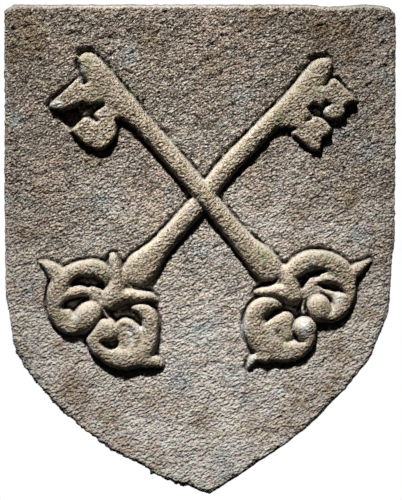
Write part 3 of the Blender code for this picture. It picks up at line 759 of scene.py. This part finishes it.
# %% Sockets that can be calculated with
class Wire:
    """An output socket that answers to + - *, to a number / it, and to a few named functions."""

    def __init__(self, tree, socket):
        self.tree = tree
        self.socket = socket

    @classmethod
    def node(cls, tree, kind, settings=None, inputs=None, output=0):
        """Add a node: settings first, then the values or wires of its sockets."""
        made = tree.nodes.new(kind)
        for name, value in (settings or {}).items():
            setattr(made, name, value)
        for name, value in (inputs or {}).items():
            if isinstance(value, Wire):
                tree.links.new(value.socket, made.inputs[name])
            else:
                made.inputs[name].default_value = value
        return cls(tree, made.outputs[output])

    def maths(self, operation, *others, clamp=False):
        inputs = dict(enumerate((self, *others)))
        settings = {"operation": operation, "use_clamp": clamp}
        return Wire.node(self.tree, "ShaderNodeMath", settings, inputs)

    def __add__(self, other):
        return self.maths('ADD', other)

    __radd__ = __add__

    def __mul__(self, other):
        return self.maths('MULTIPLY', other)

    __rmul__ = __mul__

    def __sub__(self, other):
        return self.maths('SUBTRACT', other)

    def __rsub__(self, other):
        return (self * -1.0).maths('ADD', other)

    def __rtruediv__(self, other):
        return self.maths('POWER', -1.0) * other

    def clamped(self):
        return self.maths('ADD', 0.0, clamp=True)

    def between(self, low, high):
        """0 below low, 1 above high, smooth between."""
        inputs = {"Value": self, "From Min": low, "From Max": high}
        settings = {"interpolation_type": 'SMOOTHSTEP'}
        return Wire.node(self.tree, "ShaderNodeMapRange", settings, inputs)

    def tint(self, first, second):
        """Colour between two, this wire being the share of the second."""
        inputs = {0: self, 6: first, 7: second}
        return Wire.node(self.tree, "ShaderNodeMix", {"data_type": 'RGBA'}, inputs, output=2)


print("a Wire answers to:", ", ".join(name for name in vars(Wire) if name.strip("_") == name))

# %% [markdown]
# ## How rough each place is
#
# The ground is rough from the punch, the keys were rubbed smoother, and rain has washed their
# upper edges and the rim smoother still. The sides are plainly dressed and the back is sawn.
# An attribute called tooth holds this: 1 is as rough as the ground, 0 is smooth. It follows from
# the relief, its slope and the distance from the rim. What slopes up and a little to the left
# faces the light: it is washed smoother and painted paler, partly a painted highlight. What
# slopes the other way is painted darker as painted shade.

# %% Facing the light: washed, painted highlight and painted shade
LIGHT_FROM = (0.93, 0.36)           # weight of the slope downwards and to the right
RIM_WIDTH = 4.5                       # squares

key_share = blurred(np.clip(relief / 6.0, 0, 1), 0.8)
slope_down, slope_across = np.gradient(blurred(relief, 0.8), GRID_STEP)
facing_light = LIGHT_FROM[0] * slope_down + LIGHT_FROM[1] * slope_across
# Painted highlight and wear: what faces the light is made smoother and, in the material, paler.
washed_and_highlit = blurred(np.clip((facing_light - 0.1) / 0.9, 0, 1), 1.0)
# Painted shade: the sides that slope away from the light are painted dark later, together with
# the dirt.
shade_on_lower_sides = np.clip((-facing_light - 0.45) / 0.7, 0, 1)
along_top = np.clip((15 - DOWN) / 6, 0, 1)
rim = np.clip(1.15 - inwards / RIM_WIDTH, 0, 1)
jagged_rim = np.clip((DOWN - 325) / 30, 0, 1) * np.clip((225 - ACROSS) / 15, 0, 1)
smooth_rim = rim * (1 - jagged_rim)
# The top rim is painted paler too, partly a painted highlight, and the rest of the smooth rim a
# little, as wear.
washed_and_highlit = np.maximum(washed_and_highlit, 1.5 * (rim * along_top) + 0.35 * smooth_rim)
print("washed:", round(100 * float((washed_and_highlit > 0.5).mean()), 1), "% of the drawing")


# %% How rough each place is
def share_of_front(spots):
    """1 on the carved front, 0 on the sides and back."""
    behind = -spots[:, 1] / (SLAB_THICKNESS + sampled(height, spots[:, 0], spots[:, 2]) / 1000)
    return np.clip((behind - 0.93) / 0.05, 0, 1)


def store(mesh, name, values):
    """Keep one number for each vertex as a named attribute."""
    layer = mesh.attributes.get(name) or mesh.attributes.new(name, 'FLOAT', 'POINT')
    layer.data.foreach_set("value", np.asarray(values, float))


BACK_DEPTH = 0.003                    # metres from the wall that count as the back
ROUGH_BACK = 0.12
spots = places(mesh)
x, z = spots[:, 0], spots[:, 2]
on_front = share_of_front(spots)
on_back = np.clip(1 + spots[:, 1] / BACK_DEPTH, 0, 1)
rough = 1.0 - 0.62 * sampled(key_share, x, z) - 0.30 * sampled(washed_and_highlit, x, z)
rough *= 0.80 + 1.5 * z               # the ground is coarser at the top than at the foot
rough *= 1 - 0.6 * sampled(smooth_rim, x, z)
rough_sides = 0.35 + 0.8 * sampled(jagged_rim, x, z)
rough_behind = rough_sides * (1 - on_back) + ROUGH_BACK * on_back
rough = on_front * rough + (1 - on_front) * rough_behind
store(mesh, "tooth", rough)
print("roughest", round(float(rough.max()), 2), "smoothest", round(float(rough.min()), 2))

# %% [markdown]
# ## Pecking the stone
#
# A punch driven at a slant leaves broad rolls about 12 mm apart, its single strokes are marks
# about 5 mm apart, and between them is the grain of the stone, under 3 mm. All three are a
# little longer along the bedding, which rises to the right. A pattern that follows a surface is
# a job for Geometry Nodes: noise moves each point along its normal, as far as tooth allows.

# %% The pecked surface as a node tree
WAVES = 1.8                           # cells of the noise to one of its bumps
BED_RISE = 0.5                        # radians that the bedding rises to the right
BED_STRETCH = 1.4                     # marks are longer along the bedding
PECKING = [
    ("Roll height", 0.0060),
    ("Roll spacing", 0.0125),
    ("Punch height", 0.0052),
    ("Punch spacing", 0.0052),
    ("Grain height", 0.0028),
    ("Grain spacing", 0.0027),
    ("Seed", 7.0),
]


def along_the_bed(tree, place):
    """Place turned and squeezed, so that noise there runs along the bedding of the stone."""
    turned = Wire.node(tree, "ShaderNodeVectorRotate", {"rotation_type": 'Y_AXIS'},
                       {"Vector": place, "Angle": BED_RISE})
    return Wire.node(tree, "ShaderNodeVectorMath", {"operation": 'MULTIPLY'},
                     {0: turned, 1: (1 / BED_STRETCH, 1.0, 1.0)})


def pecked_surface():
    """The tree: three noises, a shift along the normal, and the finish."""
    tree = bpy.data.node_groups.new("pecked_surface", 'GeometryNodeTree')
    tree.interface.new_socket("Stone", in_out='INPUT', socket_type='NodeSocketGeometry')
    for name, _ in PECKING:
        tree.interface.new_socket(name, in_out='INPUT', socket_type='NodeSocketFloat')
    tree.interface.new_socket("Finish", in_out='INPUT', socket_type='NodeSocketMaterial')
    tree.interface.new_socket("Stone", in_out='OUTPUT', socket_type='NodeSocketGeometry')
    entry = tree.nodes.new("NodeGroupInput")
    given = {socket.name: Wire(tree, socket) for socket in entry.outputs if socket.name}
    place = along_the_bed(tree, Wire.node(tree, "GeometryNodeInputPosition"))
    tooth = Wire.node(tree, "GeometryNodeInputNamedAttribute", {"data_type": 'FLOAT'},
                      {"Name": "tooth"})

    def noise(spacing, detail):
        return Wire.node(tree, "ShaderNodeTexNoise", {"noise_dimensions": '4D'}, {
            "Vector": place, "W": given["Seed"], "Scale": WAVES / spacing,
            "Detail": detail, "Roughness": 0.55,
        }) - 0.5

    rolls = noise(given["Roll spacing"], 1.0) * given["Roll height"]
    bumps = noise(given["Punch spacing"], 1.0) * given["Punch height"]
    grains = noise(given["Grain spacing"], 1.0) * given["Grain height"]
    outwards = Wire.node(tree, "GeometryNodeInputNormal")
    shift = Wire.node(tree, "ShaderNodeVectorMath", {"operation": 'SCALE'},
                      {0: outwards, "Scale": (rolls + bumps + grains) * tooth})
    moved = Wire.node(tree, "GeometryNodeSetPosition", None,
                      {"Geometry": given["Stone"], "Offset": shift})
    plain = Wire.node(tree, "GeometryNodeRealizeInstances", None, {"Geometry": moved})
    finished = Wire.node(tree, "GeometryNodeSetMaterial", None,
                         {"Geometry": plain, "Material": given["Finish"]})
    leaving = tree.nodes.new("NodeGroupOutput")
    tree.links.new(finished.socket, leaving.inputs[0])
    return tree


print("pecking:", dict(PECKING))

# %% [markdown]
# ## The sandstone's material
#
# Dry sandstone is quite matt, so one high roughness serves everywhere. Its colours are mixed from
# noise in the stone's own coordinates and from attributes that are painted on the mesh further
# down. The helpers here give a colour as a paint chart has it, a noise whose bumps have a size in
# metres, and a painted attribute.

# %% The sandstone's material
def colour(red, green, blue):
    """Linear colour from the 0 to 255 values of a paint chart."""
    return tuple(((part / 255 + 0.055) / 1.055) ** 2.4 for part in (red, green, blue)) + (1.0,)


sandstone = bpy.data.materials.new("sandstone")
sandstone.use_nodes = True
paint = sandstone.node_tree
shader = paint.nodes["Principled BSDF"]
shader.inputs["Roughness"].default_value = 0.95
shader.inputs["Specular IOR Level"].default_value = 0.25
in_stone = Wire.node(paint, "ShaderNodeTexCoord", output=3)
along_bed = along_the_bed(paint, in_stone)


def noise(size, detail=2.0, roughness=0.55, where=in_stone, output=0):
    """Noise in the stone, its bumps of a size in metres."""
    return Wire.node(paint, "ShaderNodeTexNoise", None, {
        "Vector": where, "Scale": WAVES / size, "Detail": detail, "Roughness": roughness},
        output=output)


def painted(name):
    """An attribute of the mesh."""
    return Wire.node(paint, "ShaderNodeAttribute", {"attribute_name": name}, output=2)


print("sandstone: roughness", round(shader.inputs["Roughness"].default_value, 2))

# %% [markdown]
# ## The bare stone
#
# The stone is brown at the top and pale towards the foot, with rosy and ochre patches between.
# The keys are a warm buff, because hands and rain have kept them clean, and the sides that face
# the light are painted nearly cream, partly wear and partly a painted highlight. A cool grey
# bloom lies over all of it in small clouds.
# A fine coloured noise, overlaid, gives each grain of sand its own tint.

# %% The bare stone
across = Wire.node(paint, "ShaderNodeSeparateXYZ", None, {"Vector": in_stone}, output=0)
up = Wire.node(paint, "ShaderNodeSeparateXYZ", None, {"Vector": in_stone}, output=2)
paleness = (up * -1.75 + across * 0.15 + noise(0.10) * 0.9 + 0.03).between(0.1, 0.9)
base = paleness.tint(colour(110, 100, 91), colour(200, 196, 190))
base = (noise(0.060, 3.0).between(0.48, 0.66) * 0.6).tint(base, colour(158, 138, 125))
base = (noise(0.035, 3.0).between(0.52, 0.68) * 0.45).tint(base, colour(164, 148, 120))
keys = noise(0.026, 3.0).between(0.36, 0.64).tint(colour(162, 148, 127), colour(148, 132, 106))
base = (painted("key") * 0.85).tint(base, keys)
# Painted highlight and wear: the sides that face the light are painted cream.
base = (painted("washed_and_highlit") * 0.62).clamped().tint(base, colour(222, 216, 202))
base = (noise(0.020, 3.0).between(0.56, 0.68) * 0.40).tint(base, colour(150, 152, 158))
stain = painted("stain") * noise(0.012, 3.0).between(0.30, 0.56)
base = (stain * 0.75).tint(base, colour(118, 92, 54))
# Grey patches; along the left rim they are a painted bluish shade.
grey = painted("grey") * noise(0.008, 3.0).between(0.30, 0.56)
base = (grey * 0.75).tint(base, colour(138, 152, 158))
base = Wire.node(paint, "ShaderNodeMix", {"data_type": 'RGBA', "blend_type": 'OVERLAY'},
                 {0: 0.30, 6: base, 7: noise(0.0046, 1.0, output=1)}, output=2)
print("bare stone:", len(paint.nodes), "nodes")

# %% [markdown]
# ## Grain, dirt, painted shade and growth
#
# One noise along the bedding is the grain. Where it is low the colour is a dark pit, partly
# painted shade, where it is high a pale crest, partly a painted highlight, and the same noise
# feeds the bump, so that the pits are also low. The washed places that face the light and the
# pale places are finer. Over the grain come dirt and painted shade in the trenches, painted shade
# on the sides away from the light, a little moss, and bluish white spots that are partly bloom of
# lime and partly painted highlight.

# %% Grain, dirt, painted shade and growth
BUMP_HEIGHT = 0.0035                  # metres
grain = noise(0.0026, 1.0, 0.6, along_bed)
coarseness = 1.15 - painted("key") * 0.1 - painted("washed_and_highlit") * 0.5 - paleness * 0.45
# Painted shade in the pits and painted highlight on the crests, partly the grain's own colour.
pits = ((0.47 - grain) * 7.0).clamped() * coarseness
base = pits.clamped().tint(base, colour(50, 43, 37))
crests = ((grain - 0.50) * 3.5).clamped() * coarseness * (stain * -0.5 + 1.0)
base = crests.clamped().tint(base, colour(220, 212, 198))
# Dirt and painted shade: the trench, the break, low places and the sides away from the light are
# painted near black.
base = (painted("dirt_and_shade") * 0.85).tint(base, colour(34, 29, 25))
base = (painted("moss") * noise(0.006).between(0.35, 0.6) * 0.7).tint(base, colour(112, 122, 84))
# Bluish white spots, partly lime bloom and partly painted highlight.
bloom_and_highlight = (painted("bloom_and_highlight") * noise(0.004, 2.0).between(0.34, 0.54)).clamped()
base = (bloom_and_highlight * 0.8).tint(base, colour(212, 220, 226))
paint.links.new(base.socket, shader.inputs["Base Color"])

pores = (grain * 0.6 + noise(0.0042, 0.0, 0.5, along_bed)) * coarseness
bump = Wire.node(paint, "ShaderNodeBump", None,
                 {"Strength": 1.0, "Distance": BUMP_HEIGHT, "Height": pores})
paint.links.new(bump.socket, shader.inputs["Normal"])
print("weathered stone:", len(paint.nodes), "nodes")

# %% [markdown]
# ## Running the tree and thinning the mesh
#
# The modifier's inputs are set by the identifiers of its sockets before the stone is first
# evaluated. The result is made plain, and then thinned to a size that can still be exported:
# collapsing edges takes triangles from the quiet back first and leaves them where the carving
# is.

# %% Running the tree and thinning the mesh
MOST_TRIANGLES = 196000
pecking = stone.modifiers.new("pecking", 'NODES')
pecking.node_group = pecked_surface()
amounts = dict(PECKING, Finish=sandstone)
for socket in pecking.node_group.interface.items_tree:
    if socket.in_out == 'INPUT' and socket.name in amounts:
        pecking[socket.identifier] = amounts[socket.name]
mesh = settled(stone)
triangles = sum(len(polygon.vertices) - 2 for polygon in mesh.polygons)
thinning = stone.modifiers.new("thinning", 'DECIMATE')
thinning.ratio = min(1.0, MOST_TRIANGLES / triangles)
mesh = settled(stone)
mesh.shade_smooth()
print("thinned from", triangles, "to", sum(len(p.vertices) - 2 for p in mesh.polygons))

# %% [markdown]
# ## Painting the attributes
#
# The last step on the mesh is to say where each colour goes. Height above the ground marks the
# keys. Bloom, stains, grey patches and moss are soft round spots, set out on the drawing by
# their place and size where the stone has them. The bluish white spots are partly lime bloom and
# partly painted highlight, and the grey spots along the left rim are a painted bluish shade.

# %% Spots of bloom and painted highlight, stain, grey and moss
# Bluish white spots: partly lime bloom, partly painted highlight where sky light catches the
# stone.
BLOOM_AND_HIGHLIGHTS = [
    (278, 390, 7), (164, 445, 6), (18, 122, 5), (191, 345, 4), (225, 122, 4), (305, 330, 6),
    (83, 70, 4), (309, 268, 5), (340, 300, 4), (334, 140, 3), (325, 112, 3), (92, 353, 4),
    (140, 328, 5), (130, 340, 5), (244, 325, 6), (57, 105, 5), (252, 364, 5), (303, 324, 8),
    (131, 332, 5), (338, 296, 5), (90, 348, 5), (47, 272, 4), (246, 334, 4), (325, 108, 4),
    (82, 78, 4), (302, 312, 4), (60, 104, 4), (253, 356, 4), (76, 318, 4),
]
STAIN = [
    (20, 22, 22), (35, 45, 20), (12, 55, 14), (320, 30, 26), (345, 30, 16), (352, 55, 16),
    (255, 15, 20), (75, 385, 22), (60, 345, 14), (110, 420, 20), (335, 345, 22), (300, 400, 24),
    (330, 385, 22), (365, 315, 14), (25, 235, 18), (215, 70, 20), (150, 40, 18), (200, 420, 18),
    (90, 155, 18), (40, 190, 14), (350, 200, 18), (300, 210, 16),
]
# Grey patches; the spots along the left rim are a painted bluish shade.
GREY = [
    (16, 118, 12), (386, 30, 10), (386, 75, 12), (130, 55, 16), (200, 330, 20), (180, 380, 22),
    (235, 375, 16), (245, 400, 14), (220, 460, 16), (225, 478, 10), (100, 200, 14),
    (340, 130, 14), (370, 150, 14), (240, 95, 16), (360, 235, 14), (30, 290, 12),
    (200, 250, 16), (6, 70, 6), (6, 100, 6), (6, 150, 6), (6, 30, 5), (7, 200, 6), (7, 250, 6),
]
MOSS = [
    (88, 64, 8), (287, 340, 6), (60, 316, 7), (325, 258, 9), (265, 255, 12), (97, 268, 10),
    (130, 90, 12), (100, 95, 10), (105, 352, 7), (318, 90, 10), (280, 118, 12),
]


def spotted(spots_on_drawing):
    """Soft round spots from rows of (across, down, radius)."""
    total = np.zeros(ACROSS.shape)
    for across, down, radius in spots_on_drawing:
        total += np.exp(-((ACROSS - across) ** 2 + (DOWN - down) ** 2) / (0.7 * radius) ** 2)
    return np.clip(total, 0, 1)


print("spots:", len(BLOOM_AND_HIGHLIGHTS) + len(STAIN) + len(GREY) + len(MOSS))

# %% [markdown]
# ## Dirt and painted shade, and the hand-over of the stone
#
# The colour is darker where the surface is lower than its surroundings, in the trench, where it
# is painted shade, in the break, partly as painted shade, along a thin line at the top edge, and
# on the sides that slope away from the light, as painted shade. Every field is read at each
# vertex of the front and kept as an attribute. The stone is then one finished piece: it rides
# the root body and stands in for the packed solid.

# %% Dirt and painted shade, and the hand-over of the stone
# Darker paint: places lower than around, the trench and the sides away from the light as painted
# shade, the break partly as painted shade, and a thin line along the top edge.
lower_than_around = np.clip((blurred(height, 3.0) - height) / 5.0, 0, 1)
broken = blurred(np.clip(-(relief + 3.0) / 3.0, 0, 1), 0.8)
thin_dark_line = 0.8 * np.clip(2.2 - inwards, 0, 1) * along_top
dirt_and_shade = np.clip(0.6 * lower_than_around + trench * unevenness + 0.9 * broken + thin_dark_line
               + 0.7 * shade_on_lower_sides, 0, 1)
fields = {"key": key_share, "washed_and_highlit": washed_and_highlit, "dirt_and_shade": dirt_and_shade, "bloom_and_highlight": spotted(BLOOM_AND_HIGHLIGHTS),
          "moss": spotted(MOSS), "stain": spotted(STAIN), "grey": spotted(GREY)}
spots = places(mesh)
on_front = share_of_front(spots)
for name, field in fields.items():
    store(mesh, name, on_front * sampled(field, spots[:, 0], spots[:, 2]))
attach(stone, "root")
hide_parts("carved_shield")
print("painted", len(mesh.vertices), "vertices with", ", ".join(fields))

# %% [markdown]
# ## The floor
#
# A plain pale floor lies a little below the foot of the stone. It is pale, and yet it throws no
# light up into the shadows of the relief, because it isn't seen by diffuse rays.

# %% The floor
FLOOR_DOWN = -0.30                    # metres
floor_cage = bmesh.new()
bmesh.ops.create_grid(floor_cage, x_segments=1, y_segments=1, size=1.0)
floor_mesh = bpy.data.meshes.new("floor")
floor_cage.to_mesh(floor_mesh)
floor_cage.free()
floor = bpy.data.objects.new("floor", floor_mesh)
floor.scale = (1.3, 0.9, 1)
floor.location = (0, -0.75, FLOOR_DOWN)
pale = bpy.data.materials.new("pale_floor")
pale.use_nodes = True
pale_shader = pale.node_tree.nodes["Principled BSDF"]
pale_shader.inputs["Base Color"].default_value = colour(225, 224, 222)
pale_shader.inputs["Roughness"].default_value = 0.9
floor_mesh.materials.append(pale)
bpy.context.scene.collection.objects.link(floor)
floor.visible_diffuse = False
print("floor at", FLOOR_DOWN, "m")


# %% [markdown]
# ## The light
#
# One small softbox stands high in front and rakes down over the face, because relief is read by
# its shadows, and a weak blue fill keeps the hollows from going quite black. Two soft lamps
# behind light the back and the sides and don't reach the face. The surroundings are white to the
# camera but give almost no light.

# %% The light
FAINT = 0.003                         # strength of the surroundings as a light
BLUISH = (0.75, 0.86, 1.0)
DAYLIGHT = (0.95, 0.97, 1.0)
WARM = (1.0, 0.97, 0.93)


def softbox(name, towards, distance, size, spread, power, tone):
    """Square lamp at a distance in a direction from the middle of the face."""
    light = bpy.data.lights.new(name, 'AREA')
    light.shape = 'SQUARE'
    light.size = size
    light.spread = spread
    light.energy = power
    light.color = tone
    lamp = bpy.data.objects.new(name, light)
    aim = Vector(towards).normalized()
    lamp.location = Vector((0, -SLAB_THICKNESS, 0)) + aim * distance
    lamp.rotation_euler = aim.to_track_quat('Z', 'Y').to_euler()
    bpy.context.scene.collection.objects.link(lamp)


softbox("key_softbox", (-0.14, -0.60, 0.78), 2.6, 0.16, 0.42, 2.4, WARM)
softbox("fill_softbox", (0.35, -0.9, 0.1), 3.0, 2.2, np.pi, 0.12, BLUISH)
softbox("back_softbox_right", (0.78, 0.62, 0.02), 2.0, 0.9, np.pi, 20.0, DAYLIGHT)
softbox("back_softbox_left", (-0.78, 0.62, 0.12), 2.0, 0.9, np.pi, 20.0, DAYLIGHT)

world = bpy.data.worlds.new("white_surround")
bpy.context.scene.world = world
world.use_nodes = True
sky = world.node_tree
seen = Wire.node(sky, "ShaderNodeLightPath")
strength = seen * (1.0 - FAINT) + FAINT
whiteness = seen.tint((*BLUISH, 1.0), (1.0, 1.0, 1.0, 1.0))
backdrop = sky.nodes["Background"]
sky.links.new(strength.socket, backdrop.inputs["Strength"])
sky.links.new(whiteness.socket, backdrop.inputs["Color"])
bpy.context.scene.view_settings.view_transform = 'Standard'
print("lights:", len(bpy.data.lights))

# %% [markdown]
# ## The camera
#
# The camera looks straight on, a square to the right of the middle and a square below it. Its
# lens follows from the distance and from how much of the drawing the picture holds.

# %% The camera
VIEW_DISTANCE = 2.0                   # metres
VIEW_HEIGHT = 500 * SQUARE            # the picture is 500 squares tall at the face
SENSOR = 36.0                         # millimetres
lens = bpy.data.cameras.new("camera")
lens.sensor_width = SENSOR
lens.lens = SENSOR * VIEW_DISTANCE / VIEW_HEIGHT
camera = bpy.data.objects.new("camera", lens)
camera.location = (SQUARE, -SLAB_THICKNESS - VIEW_DISTANCE, -SQUARE)
camera.rotation_euler = (np.pi / 2, 0, 0)
bpy.context.scene.collection.objects.link(camera)
bpy.context.scene.camera = camera
print("lens:", round(lens.lens, 1), "mm")
